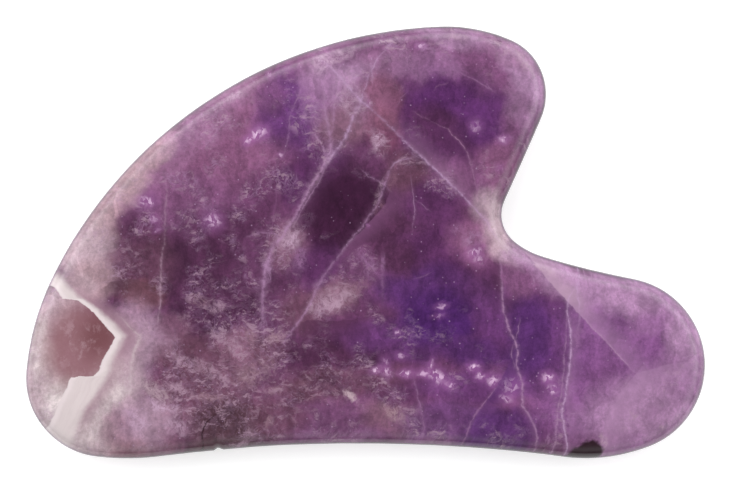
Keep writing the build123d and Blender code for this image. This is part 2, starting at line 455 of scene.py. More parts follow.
# Streaks that run on from end to end: healed cracks and cleavage planes, seen edge on. Each has its
# colour, its width, its strength, and its route as (x, y, share of the strength). A route is read along
# whichever of x and y it is longer in, so it never doubles back in that direction. A vein's core is the
# first share below of its width, and its strength is raised by the second.
VEIN_CORE = 0.75
VEIN_GAIN = 1.25
VEINS = [
    # the long cleavage line from the brow to the notch
    (THREAD, 0.26, 0.6, [(-6, 23.6, 0), (-4.5, 22.2, 0.9), (-1.2, 18.4, 1), (1.6, 15.9, 0.4),
        (3.8, 13.8, 0.6), (6.8, 11, 0.8), (9, 8.9, 1), (12, 6.1, 0.9), (15.5, 2.7, 0.8), (17.5, -0.5, 0)]),
    # the vein that forks down through the middle
    (PALE, 0.3, 0.7, [(-5.6, 24, 0), (-5.2, 20, 0.6), (-5.2, 17, 0.8), (-4.6, 14, 0.7), (-4.4, 11.5, 1),
        (-5.6, 9, 0.9), (-7.2, 6.5, 1), (-8.6, 3.8, 0.9), (-10.2, 1.2, 1), (-11.9, -0.9, 1),
        (-12.7, -3.4, 1), (-12.9, -6.5, 0.8), (-12.9, -9.5, 0.5), (-12.7, -13, 0)]),
    (PALE, 0.16, 0.6, [(-3.8, 21.4, 0.2), (-4.1, 18, 0.8), (-4, 15.5, 0.7), (-4.6, 12.4, 0)]),
    (PALE, 0.14, 0.6, [(-6.4, 15.5, 0), (-6.3, 13.4, 0.8), (-5.3, 11.8, 0.8), (-4.8, 10, 0)]),
    (PALE, 0.12, 0.6, [(-4.4, 10.6, 0), (-6, 7.4, 0.8), (-7.8, 4.6, 0.8), (-9.4, 1.2, 0)]),
    (THREAD, 0.26, 0.65, [(-0.2, 18.6, 0), (-1.5, 16, 0.8), (-2.5, 13.2, 0.9), (-4.1, 11.2, 0.9),
        (-5.4, 9, 0)]),
    (THREAD, 0.12, 0.5, [(0.8, 22.5, 0.3), (0.2, 20.4, 0.8), (-0.5, 18, 0.7), (-1.2, 15.6, 0)]),
    (THREAD, 0.14, 0.5, [(3, 24.6, 0.4), (1.6, 23.2, 0.8), (0.7, 21.4, 0.9), (1, 19.4, 0)]),
    (THREAD, 0.1, 0.5, [(-0.2, 22, 0), (-1.2, 20.9, 0.8), (-2.6, 20, 0)]),
    (PALE, 0.22, 0.6, [(3.6, 10.4, 0), (2.5, 7.6, 0.9), (1.6, 5, 0.6), (-0.5, 1.8, 0.9), (-2.4, -0.3, 0.7),
        (-4.2, -2.7, 0.6), (-5.9, -5.4, 0.6), (-6.9, -7.8, 1), (-8.3, -9.8, 0.9), (-10.1, -12.2, 0.5),
        (-11.3, -14.4, 0)]),
    (THREAD, 0.14, 0.55, [(2.4, 8.4, 0), (3.6, 10, 0.8), (5.2, 10.5, 0.5), (7, 11, 0)]),
    (PALE, 0.12, 0.5, [(-1, 9.6, 0), (0.4, 8.2, 0.8), (2.2, 7.4, 0.8), (3.6, 6.2, 0)]),
    (PALE, 0.14, 0.55, [(-15.5, 0.4, 0), (-13.5, 1.2, 0.8), (-11.6, 1.2, 0.5), (-10, 0.4, 0)]),
    # the wavy lines that run down to the scraping edge
    (PALE, 0.17, 0.7, [(17, -1.2, 0), (17.1, -5, 0.7), (17.3, -8.6, 0.9), (17.9, -10.6, 0.8),
        (18.7, -12.2, 0.9), (19.1, -13.8, 1), (18.9, -15.5, 0.8), (19.7, -17.6, 0.9), (19.7, -20.6, 0.9),
        (20.8, -22, 0.7), (21.7, -24, 0.9), (22.1, -27, 0.8)]),
    (PALE, 0.08, 0.6, [(19.4, -9.2, 0), (19.2, -10.8, 0.9), (18.8, -12.6, 0)]),
    (PALE, 0.08, 0.5, [(18.5, -12.6, 0), (18.3, -14.2, 0.9), (18.8, -16, 0)]),
    (PALE, 0.12, 0.5, [(20.9, -3.4, 0), (21.2, -4.6, 0.9), (21, -6, 0)]),
    (THREAD, 0.15, 0.75, [(27.4, -3.2, 0.8), (26.8, -5.4, 0.9), (26.9, -9.6, 0.4), (26.6, -11.4, 0)]),
    (THREAD, 0.15, 0.75, [(27, -5.2, 0), (25.4, -7, 0.7), (25.3, -9, 0.8), (25.7, -11, 0.9), (25.8, -14, 1),
        (25.4, -16.6, 0.9), (25.1, -19.6, 1), (24.6, -21.2, 1), (25, -23.4, 0.9), (25.6, -25.4, 1),
        (25.9, -27.3, 0.9)]),
    (PALE, 0.12, 0.65, [(25.2, -7.2, 0), (25.1, -12, 0.6), (24.9, -16, 0.6), (24.6, -19.4, 0.6),
        (24.1, -21, 0.9), (24, -27.3, 0.8)]),
    (PALE, 0.12, 0.6, [(28.1, -3.6, 0.8), (27.6, -5.6, 0.8), (27.7, -7.6, 0.8), (26.9, -9.6, 0)]),
    (PALE, 0.09, 0.6, [(28.9, -4, 0.7), (28.3, -6, 0.7), (28, -8.6, 0.5), (27.7, -10, 0)]),
    (LILAC, 0.16, 0.6, [(5.6, -15.6, 0), (6.4, -18.6, 0.7), (6.9, -20.6, 0.8), (7.4, -22.6, 0.7),
        (7.6, -26, 0.5)]),
    (LILAC, 0.16, 0.7, [(17.4, -17, 0), (15.8, -19, 0.8), (14.2, -21, 0.7), (13.3, -22.6, 0.9),
        (12.7, -25, 0.6)]),
    (LILAC, 0.3, 0.45, [(2.4, -0.6, 0), (2, -3.4, 0.9), (2.2, -6, 0.6), (2.1, -8.6, 0)]),
    (PALE, 0.08, 0.6, [(5.4, 9.4, 0), (5.9, 6.4, 0.6), (6.2, 3.6, 0.9), (5.7, 0.8, 0)]),
    (PALE, 0.08, 0.4, [(5.8, 5.6, 0), (7.2, 4.6, 0.9), (8.4, 3.6, 0)]),
    (LILAC, 0.08, 0.5, [(5.6, -4.6, 0), (7.2, -4.2, 0.9), (8.8, -3.4, 0)]),
    # the lines across the nose
    (PALE, 0.14, 0.7, [(25, -7, 0), (27.2, -9.3, 0.8), (30, -12.2, 0.9), (32.4, -14.8, 1),
        (33.9, -16.6, 0)]),
    (PALE, 0.2, 0.55, [(33.8, -15.8, 0), (32.8, -17.4, 0.9), (32.1, -19, 0.8), (30.8, -20.8, 0.5),
        (30.2, -22.8, 0.8), (29.9, -24.2, 0.6)]),
    (LILAC, 0.16, 0.5, [(27.4, -19.2, 0), (29, -19.9, 0.8), (31, -20.1, 0.8), (32.6, -19.4, 0)]),
    (PALE, 0.08, 0.4, [(24.8, -21, 0), (26, -21.4, 0.9), (27.6, -21.5, 0)]),
    (LILAC, 0.3, 0.5, [(10, -22.4, 0), (11, -23.4, 0.9), (12.4, -24.6, 0)]),
    # thin arcs in the crown
    (LILAC, 0.12, 0.6, [(10, 22, 0), (11.6, 21.4, 0.8), (13.2, 20.6, 0.6), (14.8, 19.8, 0.8),
        (16.8, 18.4, 0)]),
    (LILAC, 0.12, 0.5, [(14.6, 20.6, 0), (15.6, 19.4, 0.9), (16.8, 18.4, 0)]),
    (MAUVE, 0.12, 0.8, [(8, 15.3, 0), (10.3, 14.2, 0.9), (11.8, 12.7, 0.9), (12.9, 11, 0.7),
        (13.4, 8.8, 0.7), (14, 6.6, 0.5), (14.6, 4.6, 0)]),
    (LILAC, 0.1, 0.5, [(3.6, 16.6, 0), (4.4, 18.2, 0.9), (5.8, 19.2, 0)]),
    (MAUVE, 0.1, 0.6, [(5.8, 16.6, 0), (7, 15.8, 0.9), (8.2, 15.3, 0)]),
    (MAUVE, 0.1, 0.5, [(8.4, 18.8, 0), (9.2, 19.9, 0.9), (10.6, 20.2, 0)]),
    # lines in the back and the heel
    (PALE, 0.14, 0.5, [(-7.4, 21, 0), (-8.4, 18.6, 0.8), (-9.4, 16, 0.7), (-9.8, 13, 0.5), (-10.4, 10, 0)]),
    (HEATHER, 0.12, 0.6, [(-11.6, 9, 0), (-11.2, 6, 0.9), (-11.6, 2.6, 0.6), (-12.2, 0, 0)]),
    (ASH, 0.15, 0.55, [(-25.1, 9, 0), (-25, 6, 0.5), (-25.3, 0, 0.5), (-25.7, -3, 0.8), (-25.8, -7, 0.9),
        (-26, -9.6, 0.8), (-26.2, -11, 0)]),
    (ASH, 0.1, 0.5, [(-32.6, -4.8, 0), (-31.4, -4, 0.9), (-30.2, -3.4, 0)]),
    (ASH, 0.14, 0.5, [(-30.2, -20.4, 0), (-30.3, -22.6, 0.9), (-30.1, -24.6, 0.7), (-30.1, -26.6, 0)]),
    (CREAM, 0.2, 0.55, [(-31.6, -8.7, 0), (-29.8, -10.3, 0.8), (-28.5, -11.7, 0.9), (-28.3, -12.2, 0)]),
    (CREAM, 0.3, 0.6, [(-28.6, -11.3, 0), (-28.5, -12.2, 0.9), (-29.1, -13.6, 0.8), (-29.4, -15.4, 0.6),
        (-29.6, -17.6, 0.4), (-29.8, -20, 0)]),
    # the crack beside the chip
    (INK, 0.13, 0.9, [(-16.6, -20.6, 0), (-18.6, -21.5, 0.6), (-20, -22.6, 0.9), (-20.4, -24, 0.8),
        (-20.1, -25.6, 1), (-19.9, -27.5, 1)]),
]

# Crisp changes of colour at a plane that ends on one side: the colour, how far it reaches away from the
# plane, the side it is on (1 for more, -1 for less), its strength, and the plane's route as (x, y, share
# of the strength)
STEPS = [
    (MILK, 4.0, 1, 0.55, [(20.9, -1.2, 0.5), (23, -4.6, 0.9), (25.2, -7.3, 1), (27.9, -10.2, 0)]),
    (PALE, 5.0, 1, 0.5, [(20.9, -1.2, 0.6), (23, -4.6, 0.9), (25.2, -7.3, 1), (29.6, -12, 0.9),
        (33.8, -16.4, 0.5)]),
    (PALE, 5.0, 1, 0.6, [(33.9, -16.4, 0.4), (32, -19, 1), (30.4, -22, 1), (29.9, -25, 0.8)]),
    (PALE, 3.5, -1, 0.45, [(32.6, -16.9, 0), (35, -16, 0.9), (38, -15.3, 0.8), (42.5, -14.6, 0.3)]),
    (HEATHER, 4.0, 1, 0.6, [(3.5, 7.4, 0), (2.4, 4.8, 0.9), (0.2, 2.2, 1), (-2.4, -0.4, 0.9), (-5, -4, 0)]),
    (NIGHT, 4.5, 1, 0.65, [(-4.6, 11, 0), (-5.6, 9, 0.8), (-7.2, 6.5, 1), (-8.6, 3.8, 0.9),
        (-10.2, 1.2, 0)]),
    (NIGHT, 3.0, -1, 0.6, [(-5, 8.4, 0), (-2.6, 7.6, 0.9), (0, 7.3, 1), (2.4, 7, 0.6), (3, 6.8, 0)]),
    (PLUM, 4.0, -1, 0.7, [(-9.4, -11.2, 0), (-7.4, -9.6, 0.9), (-5, -9.9, 1), (-1.6, -9.7, 0.9),
        (1, -9, 0)]),
    (MAUVE, 4.0, 1, 0.4, [(1.6, 15.9, 0), (6.8, 11, 0.9), (9, 8.9, 1), (12, 6.1, 0.9), (15.5, 2.7, 0)]),
    (NIGHT, 2.2, -1, 0.6, [(16.8, -1.8, 0), (17, -3.6, 1), (17.2, -5.8, 0.9), (17.3, -8.6, 0)]),
    (ROYAL, 3.2, 1, 0.6, [(18.7, -13.4, 0.4), (17.4, -16.6, 1), (15.8, -19, 0.9), (13.3, -22.6, 0.6),
        (12.7, -25, 0)]),
    (LILAC, 2.2, 1, 0.35, [(25.4, -7, 0), (25.6, -10.6, 1), (25.8, -14, 0.9), (25.1, -19.6, 1),
        (25.9, -27, 0.8)]),
    (GRAPE, 3.4, -1, 0.55, [(8.4, 15.2, 0), (10.3, 14.2, 1), (11.8, 12.7, 1), (12.9, 11, 0.8),
        (13.4, 8.8, 0)]),
    (UMBER, 2.8, -1, 0.6, [(-34, -6.4, 0), (-32, -4.9, 1), (-29, -4.6, 0.9), (-26.6, -5.2, 0.6),
        (-25.6, -5.5, 0)]),
]

# Frosted patches, full of fine bubbles and flakes: x and y of the middle, half the length, half the width,
# turn, colour and strength.
FROST = [
    # along the two veins through the middle
    (-6.4, 7.6, 4.8, 0.7, 60, ASH, 0.5),
    (-10, 1, 3.4, 1, 58, ASH, 0.75),
    (1.6, 6.2, 2.8, 0.6, 70, ASH, 0.6),
    (-4.6, -8, 3.4, 1.1, 32, MIST, 0.65),
    (-2.2, -6.4, 2, 1.2, 20, ASH, 0.6),
    # the flaky lower left
    (-21.6, -15.4, 5.4, 0.8, -28, ASH, 0.6),
    (-18.2, -16.6, 4.4, 0.6, -32, ASH, 0.6),
    (-26.6, -18.6, 3.6, 1.4, -25, MILK, 0.6),
    (-29.8, -16.6, 2.2, 3.4, 0, ASH, 0.6),
    (-1.7, -19.4, 1.7, 0.7, -52, MILK, 0.8),
    (-9, 0.4, 2.2, 1.4, 50, MIST, 0.8),
    (-8.2, -1.8, 1.3, 2, 10, LILAC, 0.8),
    (-12.4, -3.4, 0.9, 2.8, -10, PALE, 0.7),
    (-4, -7.4, 2.6, 2.2, 10, ASH, 0.85),
    (-6.8, -8, 1.8, 0.9, 38, ASH, 0.8),
    (-5.6, -5, 1.5, 0.9, 60, LILAC, 0.5),
    (0.2, -2.6, 1.1, 2.6, 25, LILAC, 0.8),
    (-1, -5.4, 2.4, 1, 20, HAZE, 0.7),
    (2.2, -2.4, 0.5, 1.6, 0, LILAC, 0.6),
    (1.8, 12.4, 1.5, 2.1, 20, MIST, 0.8),
    (3.4, 8, 1.1, 1.6, -10, HAZE, 0.7),
    (1.8, 4.4, 1.4, 1.1, 50, HAZE, 0.7),
    (-2.2, 18.6, 2.6, 3.6, 0, MIST, 0.5),
    (-5, 22.8, 2.4, 1.8, 20, MIST, 0.9),
    (-2.4, 24, 2.6, 1, 15, MIST, 0.5),
    (-18.6, -8.2, 1.6, 1.2, 0, ASH, 0.7),
    (-20.8, -7.4, 2.2, 1.2, 0, FOG, 0.5),
    (-18.2, -11.8, 2.4, 0.8, -18, ASH, 0.7),
    (-16.4, -13.2, 1.8, 1.1, -30, ASH, 0.75),
    (-14.4, -11.6, 1.2, 1.8, 0, FOG, 0.6),
    (-11.4, -11.8, 1.5, 1.6, 0, BLUSH, 0.6),
    (-14.6, -16.8, 2.8, 2, 0, FOG, 0.7),
    (-12.2, -15.6, 1.6, 1.4, 30, FOG, 0.6),
    (-11.6, -18.6, 2.2, 1.2, 0, FOG, 0.5),
    (-19.6, -19.4, 3.2, 0.9, -8, FOG, 0.75),
    (-23.6, -18.6, 2.4, 0.8, -22, ASH, 0.8),
    (-25.4, -20.6, 3.4, 1.2, -15, MIST, 0.9),
    (-28.4, -22.4, 2, 2.2, 0, MIST, 0.8),
    (-24, -23.2, 3, 1.2, -15, MIST, 0.7),
    (-28, -25.6, 2, 1.2, 0, ASH, 0.6),
    (-34.4, 0.4, 2, 1, 30, MILK, 0.6),
    (-16.4, 18.4, 2.4, 1, 15, MIST, 0.6),
    (-31.6, -2, 2.6, 1.4, 0, HAZE, 0.6),
    (-8, -17.8, 1.6, 0.7, 10, HAZE, 0.7),
    (-4.6, -18.4, 2.4, 0.9, -10, HAZE, 0.5),
    (3.4, -21.6, 2.6, 1.2, -20, BLUSH, 0.6),
    (-7.4, -24, 2.6, 1.1, 0, LILAC, 0.5),
    (0.4, -24, 2, 1.2, 10, LILAC, 0.45),
    (-12, -22.2, 0.8, 0.7, 0, FOG, 0.8),
    (-14.4, -24.2, 1, 1.6, 0, ASH, 0.4),
    (13.6, 0.6, 2, 1.8, 30, PALE, 0.6),
    (11.6, 1.6, 1.2, 0.8, 30, LILAC, 0.6),
    (16.6, 3.4, 1.5, 3, 30, MILK, 0.8),
    (17.6, -0.4, 2.2, 1.2, -35, MILK, 0.7),
    (7.6, 24.4, 1.5, 0.6, -10, PALE, 0.8),
    (11.6, 26, 2, 0.7, 0, ASH, 0.6),
    (12.2, 25, 0.8, 0.6, 0, PALE, 0.6),
    (20, 23.4, 3.6, 1.4, -48, ASH, 0.7),
    (17.6, 13, 1.6, 0.8, 10, LILAC, 0.6),
    (22.8, -3.4, 2, 0.9, -35, MILK, 0.7),
    (25.6, -6.2, 1.4, 1.6, 0, ASH, 0.6),
    (26.6, -12, 1, 1.8, 0, LILAC, 0.6),
    (38.6, -16.8, 1.4, 0.6, 10, PALE, 0.5),
    (36.6, -21.4, 2.4, 1.2, 20, LILAC, 0.6),
    (37.6, -23, 0.6, 0.5, 0, MILK, 0.7),
    (34.6, -18, 2.4, 0.8, 30, PALE, 0.4),
    (30.2, -25, 0.6, 1.4, 8, MILK, 0.75),
    (27.8, -23.8, 0.8, 0.5, 0, LILAC, 0.6),
    (23, -24.4, 0.5, 1, -15, PALE, 0.6),
]

# Where the stone is clear, and where it is granular: x and y of the middle, half the length, half the
# width, turn and strength
CLEAR = [
    (-2, 4, 8, 5.5, 30), (7, 0, 9, 9, 0), (24, -9, 27, 17, -10), (12, 17, 13, 9, 0),
]
GRANULAR = [
    (-20, -19, 12, 7, 0, 1.0), (-14, -12, 7, 8, 0, 0.9), (-19, -9, 6, 4, 0, 0.7), (-3, -6, 5, 3.5, 20, 0.6),
    (-6, -18, 10, 3, 0, 0.6), (-31, -3, 5, 4, 30, 0.6), (-11, 0, 4, 5, 0, 0.8),
]

# Painted glints: clusters of small planes whose pink flashes of light are painted into the colour: x and y of
# the middle, half the length, half the width, turn and strength. Round each lies a painted glow, this much
# longer, wider and as strong, and its planes spread this much further.
GLOW_LENGTH = 2
GLOW_WIDTH = 2.4
GLOW_STRENGTH = 0.5
PLANE_SPREAD = 1.1
GLINT_CLUSTERS = [
    (-13.5, 13.7, 1.3, 0.75, 25, 1.0), (-14.8, 12.7, 0.7, 0.5, 40, 0.9), (-27.4, 5.2, 1.2, 0.8, -10, 0.8),
    (-19.2, 2.7, 1.2, 1.0, 0, 0.8), (-26.6, 2.9, 0.7, 0.5, -40, 0.6), (-26.1, 1.6, 0.6, 0.35, 20, 0.6),
    (1.4, -16, 0.9, 0.4, 15, 0.8), (2.7, -16.2, 0.6, 0.6, 0, 0.8), (2.4, -14.9, 0.6, 0.6, 40, 0.6),
    (4.4, -14.2, 0.9, 0.4, -10, 0.6), (5.1, -16.5, 1.0, 0.5, 0, 1.0), (7.2, -16.5, 0.9, 0.5, 0, 0.8),
    (9, -16.9, 1.5, 0.9, -35, 0.95), (10.5, -17.9, 0.8, 0.5, -10, 0.7), (8.2, -15.3, 0.5, 0.7, -25, 0.7),
    (13.5, -15.6, 1.0, 0.5, 0, 1.0), (14.4, -16.8, 0.8, 0.5, 0, 0.8), (16, -17.3, 0.9, 0.7, 20, 0.8),
    (18.2, -18, 1.3, 1.3, 0, 0.6), (17.6, -19.6, 1.0, 0.7, 0, 0.65), (22.9, -17, 0.9, 0.7, 0, 1.0),
    (23.5, -18.5, 0.9, 0.8, 0, 0.7), (13.7, -1.2, 1.2, 0.6, 25, 0.8), (14.2, -2.2, 0.9, 0.6, 0, 0.5),
    (13.9, 14.6, 0.9, 0.8, 20, 0.55), (17.4, 12.9, 0.9, 0.4, 10, 0.7), (9.5, -8, 0.9, 0.35, 10, 0.6),
    (9.2, -9.2, 0.9, 0.3, 10, 0.5), (3.9, -11.2, 0.4, 0.35, 0, 0.6), (17, 9.4, 0.6, 0.5, 0, 0.5),
    (7, 24.8, 0.7, 0.4, 0, 0.6), (-10.6, 11, 0.4, 0.4, 0, 0.5), (-11.8, 21.4, 0.4, 0.4, 0, 0.5),
    (0.3, 2.1, 0.25, 0.2, 0, 0.9), (0.4, 17.6, 0.3, 0.3, 0, 0.4),
]

# The cream band round the smoky pocket in the heel. Both sides are read along y, from the top down.
BAND_INSIDE = [
    (-40.2, -2.4), (-39.1, -4.9), (-37.9, -7), (-36.2, -7.2), (-34, -9), (-31.4, -11.9), (-32.2, -13.4),
    (-33.1, -14.8), (-33.4, -16.1), (-34.2, -16.8), (-36.8, -16.95), (-37.3, -17.4), (-37.6, -18.6),
    (-38.4, -20.1), (-39.3, -22.3), (-40.6, -25),
]
BAND_OUTSIDE = [
    (-38.9, -2.4), (-37.1, -5.4), (-35.7, -6.9), (-33.4, -8.4), (-31.2, -10.3), (-30.1, -11.7), (-30.6, -13),
    (-31.5, -14.5), (-31.9, -16), (-32.7, -17.6), (-33.8, -19.2), (-35.3, -21.2), (-36.2, -23.6),
    (-36.8, -27),
]

# The parts of the heel's pocket, the haze beside its band, and the black grain, as x and y of the middle,
# half the length, half the width, turn, strength and how soft the edge is
POCKET_SMOKE = (-35.6, -12.9, 6.8, 8.0, -20, 0.9, 0.6)
POCKET_TIP = (-33.2, -11.6, 4.4, 5.0, -35, 0.85, 0.9)
POCKET_WISPS = (-36.4, -12.6, 5, 6.5, -20)
BAND_HALO = (-33, -14, 9, 14, 0, 1.0, 0.5)
BLACK_GRAIN = (28.2, -26.3, 2.4, 1.7, 12, 0.96, 0.3)

# How far the markings lean through the thickness, in millimetres sideways for each millimetre down
SLANT = Vector((0.45, 0.3))

# Painted shade on the rim: its colour is multiplied by a dark tint, most at the middle height: by RIM_SHARE
# of it up to RIM_BOTTOM from there, and by none of it beyond RIM_TOP
RIM_SHADE_TINT = "8a6892"
RIM_TOP = 2.05
RIM_BOTTOM = 1.2
RIM_SHARE = 0.9

# The stone's red, green and blue are multiplied by these, as the studio's light and the gloss brighten them
STUDIO_GAIN = (0.635, 0.562, 0.63, 1.0)

# ------------------------------------------------------------------------------------------ the material


def seen(colour):
    """A colour as seen, in hexadecimal, as the linear red, green, blue and alpha that a shader takes."""
    shades = [int(colour[i:i + 2], 16) / 255 for i in (0, 2, 4)]
    shades = [s / 12.92 if s <= 0.04045 else ((s + 0.055) / 1.055) ** 2.4 for s in shades]
    return (*shades, 1.0)


class Graph:
    """A material's nodes. Each call adds a node or two and gives back the output.

    A renderer has room for only so many numbers at once, and this stone has over a thousand nodes. So nothing
    is clamped, few values change type between nodes, as both would add hidden ones, and each stage is done
    before the next starts.
    """

    def __init__(self, name):
        self.material = bpy.data.materials.new(name)
        self.material.use_nodes = True
        self.nodes = self.material.node_tree.nodes
        self.links = self.material.node_tree.links
        self.surface = self.nodes["Principled BSDF"]

    def add(self, kind, inputs=(), **settings):
        """Adds a node. An input is a number, a vector, a colour or another node's output."""
        node = self.nodes.new("ShaderNode" + kind)
        for name, value in settings.items():
            setattr(node, name, value)
        for name, value in dict(inputs).items():
            if isinstance(value, bpy.types.NodeSocket):
                self.links.new(value, node.inputs[name])
            else:
                node.inputs[name].default_value = value
        return node

    def math(self, operation, *values):
        return self.add("Math", enumerate(values), operation=operation).outputs[0]

    def mix(self, share, under, over, blend="MIX"):
        node = self.add("Mix", {0: share, 6: under, 7: over}, data_type="RGBA", blend_type=blend)
        return node.outputs[2]

    def fade(self, value, start, end, low=0.0, high=1.0):
        """Runs smoothly from low to high as the value goes from start to end."""
        limits = {"Value": value, "From Min": start, "From Max": end, "To Min": low, "To Max": high}
        return self.add("MapRange", limits, interpolation_type="SMOOTHSTEP", clamp=False).outputs[0]

    def noise(self, place, size, detail=2.0, roughness=0.5, squash=(1, 1, 1), output="Fac"):
        """Cloudy noise with lumps about as wide as size, and longer where the squash is small."""
        settings = {"Vector": place, "Scale": 1 / size, "Detail": detail, "Roughness": roughness}
        node = self.add("TexNoise", settings)
        node.texture_mapping.scale = squash
        return node.outputs[output]

    def cells(self, place, size, squash=(1, 1, 1), output="Distance"):
        """Cells about as wide as size, and longer where the squash is small."""
        node = self.add("TexVoronoi", {"Vector": place, "Scale": 1 / size})
        node.texture_mapping.scale = squash
        return node.outputs[output]

    def threads(self, place, size, detail, roughness, width, most):
        """Thin winding lines, where cloudy noise passes through its middle value."""
        level = self.noise(place, size, detail=detail, roughness=roughness)
        level = self.math("ABSOLUTE", self.math("SUBTRACT", level, 0.5))
        return self.fade(level, width, 0.0, 0.0, most)

    def warp(self, place, size, amount):
        """Shifts places about, by up to about the amount, in lumps as wide as size."""
        shift = self.noise(place, size, output="Color")
        steps = {0: shift, 1: (2 * amount, 2 * amount, 0), 2: (-amount, -amount, 0)}
        shift = self.add("VectorMath", steps, operation="MULTIPLY_ADD").outputs["Vector"]
        return self.add("Mapping", {"Vector": place, "Location": shift}).outputs[0]

    def spot(self, place, x, y, length, width, turn, strength=1.0, soft=0.7):
        """An ellipse that fades out over the soft share of its radius."""
        node = self.add("TexGradient", {"Vector": place}, gradient_type="SPHERICAL")
        node.texture_mapping.vector_type = "TEXTURE"
        node.texture_mapping.translation = (x, y, 0)
        node.texture_mapping.rotation = (0, 0, math.radians(turn))
        node.texture_mapping.scale = (length, width, 1)
        return self.fade(node.outputs["Fac"], 0.0, soft, 0.0, strength)

    def shade(self, colour, brightness):
        """Multiplies a colour by a brightness."""
        grey = self.add("CombineColor", enumerate([brightness] * 3)).outputs[0]
        return self.mix(1.0, colour, grey, "MULTIPLY")

    def curve(self, value, points):
        """Reads a number off straight lines through points whose first coordinates run from 0 to 1."""
        node = self.add("FloatCurve", {"Value": value})
        line = node.mapping.curves[0]
        line.points[0].location = points[0]
        line.points[-1].location = points[-1]
        for x, y in points[1:-1]:
            line.points.new(x, y)
        for point in line.points:
            point.handle_type = "VECTOR"
        node.mapping.update()
        return node.outputs[0]


def route(graph, along, points, start, end):
    """How far along a line each place is, from 0 to 1, and the line's other coordinate there."""
    low = min(p[1] for p in points)
    span = max(p[1] for p in points) - low
    limits = {"Value": along, "From Min": start, "From Max": end}
    share = graph.add("MapRange", limits, clamp=False).outputs[0]
    flat = [((p[0] - start) / (end - start), (p[1] - low) / span) for p in points]
    return share, graph.math("MULTIPLY_ADD", graph.curve(share, flat), span, low)


def line_through(graph, parts, strength, points):
    """How far each place is to the side of a line, and how strong the line is beside it."""
    reach = [max(p[i] for p in points) - min(p[i] for p in points) for i in (0, 1)]
    main = 0 if reach[0] > reach[1] else 1
    line = sorted((p[main], p[1 - main], p[2] * strength) for p in points)
    start, end = line[0][0], line[-1][0]
    share, middle = route(graph, parts[main], line, start, end)
    away = graph.math("SUBTRACT", parts[1 - main], middle)
    present = graph.curve(share, [((p[0] - start) / (end - start), p[2]) for p in line])
    return away, present


def vein(graph, parts, width, strength, points):
    """How much of a vein there is at each place: a bright core with a haze that dies away to both sides."""
    away, present = line_through(graph, parts, strength, points)
    away = graph.math("DIVIDE", away, width)
    return graph.math("DIVIDE", present, graph.math("MULTIPLY_ADD", away, away, 1.0))


def step(graph, parts, reach, side, strength, points):
    """How much there is at each place of a colour that starts at a line and dies away to one side of it."""
    away, present = line_through(graph, parts, strength, points)
    edge = graph.fade(away, -0.08 * side, 0.12 * side)
    rest = graph.fade(away, reach * side, 0.0)
    return graph.math("MULTIPLY", graph.math("MULTIPLY", edge, rest), present)


def banded_amethyst():
    """Polished banded amethyst with its markings, which slant a little through the thickness, with painted
    glints, painted highlights by the outline and painted shade on the rim.
    """
    graph = Graph("banded_amethyst")
    place = graph.add("TexCoord").outputs["Object"]
    solid = graph.add("Mapping", {"Vector": place, "Scale": (1 / MM, 1 / MM, 1 / MM)}).outputs[0]
    x, y, z = graph.add("SeparateXYZ", {0: solid}).outputs
    depth = graph.math("SUBTRACT", THICKNESS, z)
    flat_x = graph.math("MULTIPLY_ADD", depth, SLANT.x, x)
    flat_y = graph.math("MULTIPLY_ADD", depth, SLANT.y, y)
    flat = graph.add("CombineXYZ", {0: flat_x, 1: flat_y}).outputs[0]
    flat = graph.add("Mapping", {"Vector": flat}).outputs[0]

    colour = colour_zones(graph, flat)
    colour = grain(graph, colour, solid, flat)
    colour = frost(graph, colour, flat)
    colour = painted_glints(graph, colour, flat)
    colour = veins(graph, colour, flat)
    colour = cream_band(graph, colour, flat)
    colour = black_grain(graph, colour, flat)
    colour = edge_shade(graph, colour, z)
    polish(graph, colour, solid)
    return graph.material


def colour_zones(graph, flat):
    """The stone's broad colours."""
    wavy = graph.warp(graph.warp(flat, 5.0, 1.6), 1.2, 0.6)
    colour = seen(BASE)
    for *shape, tint, strength in ZONES:
        share = graph.spot(wavy, *shape, strength, 0.6)
        colour = graph.mix(share, colour, seen(tint))
    return colour


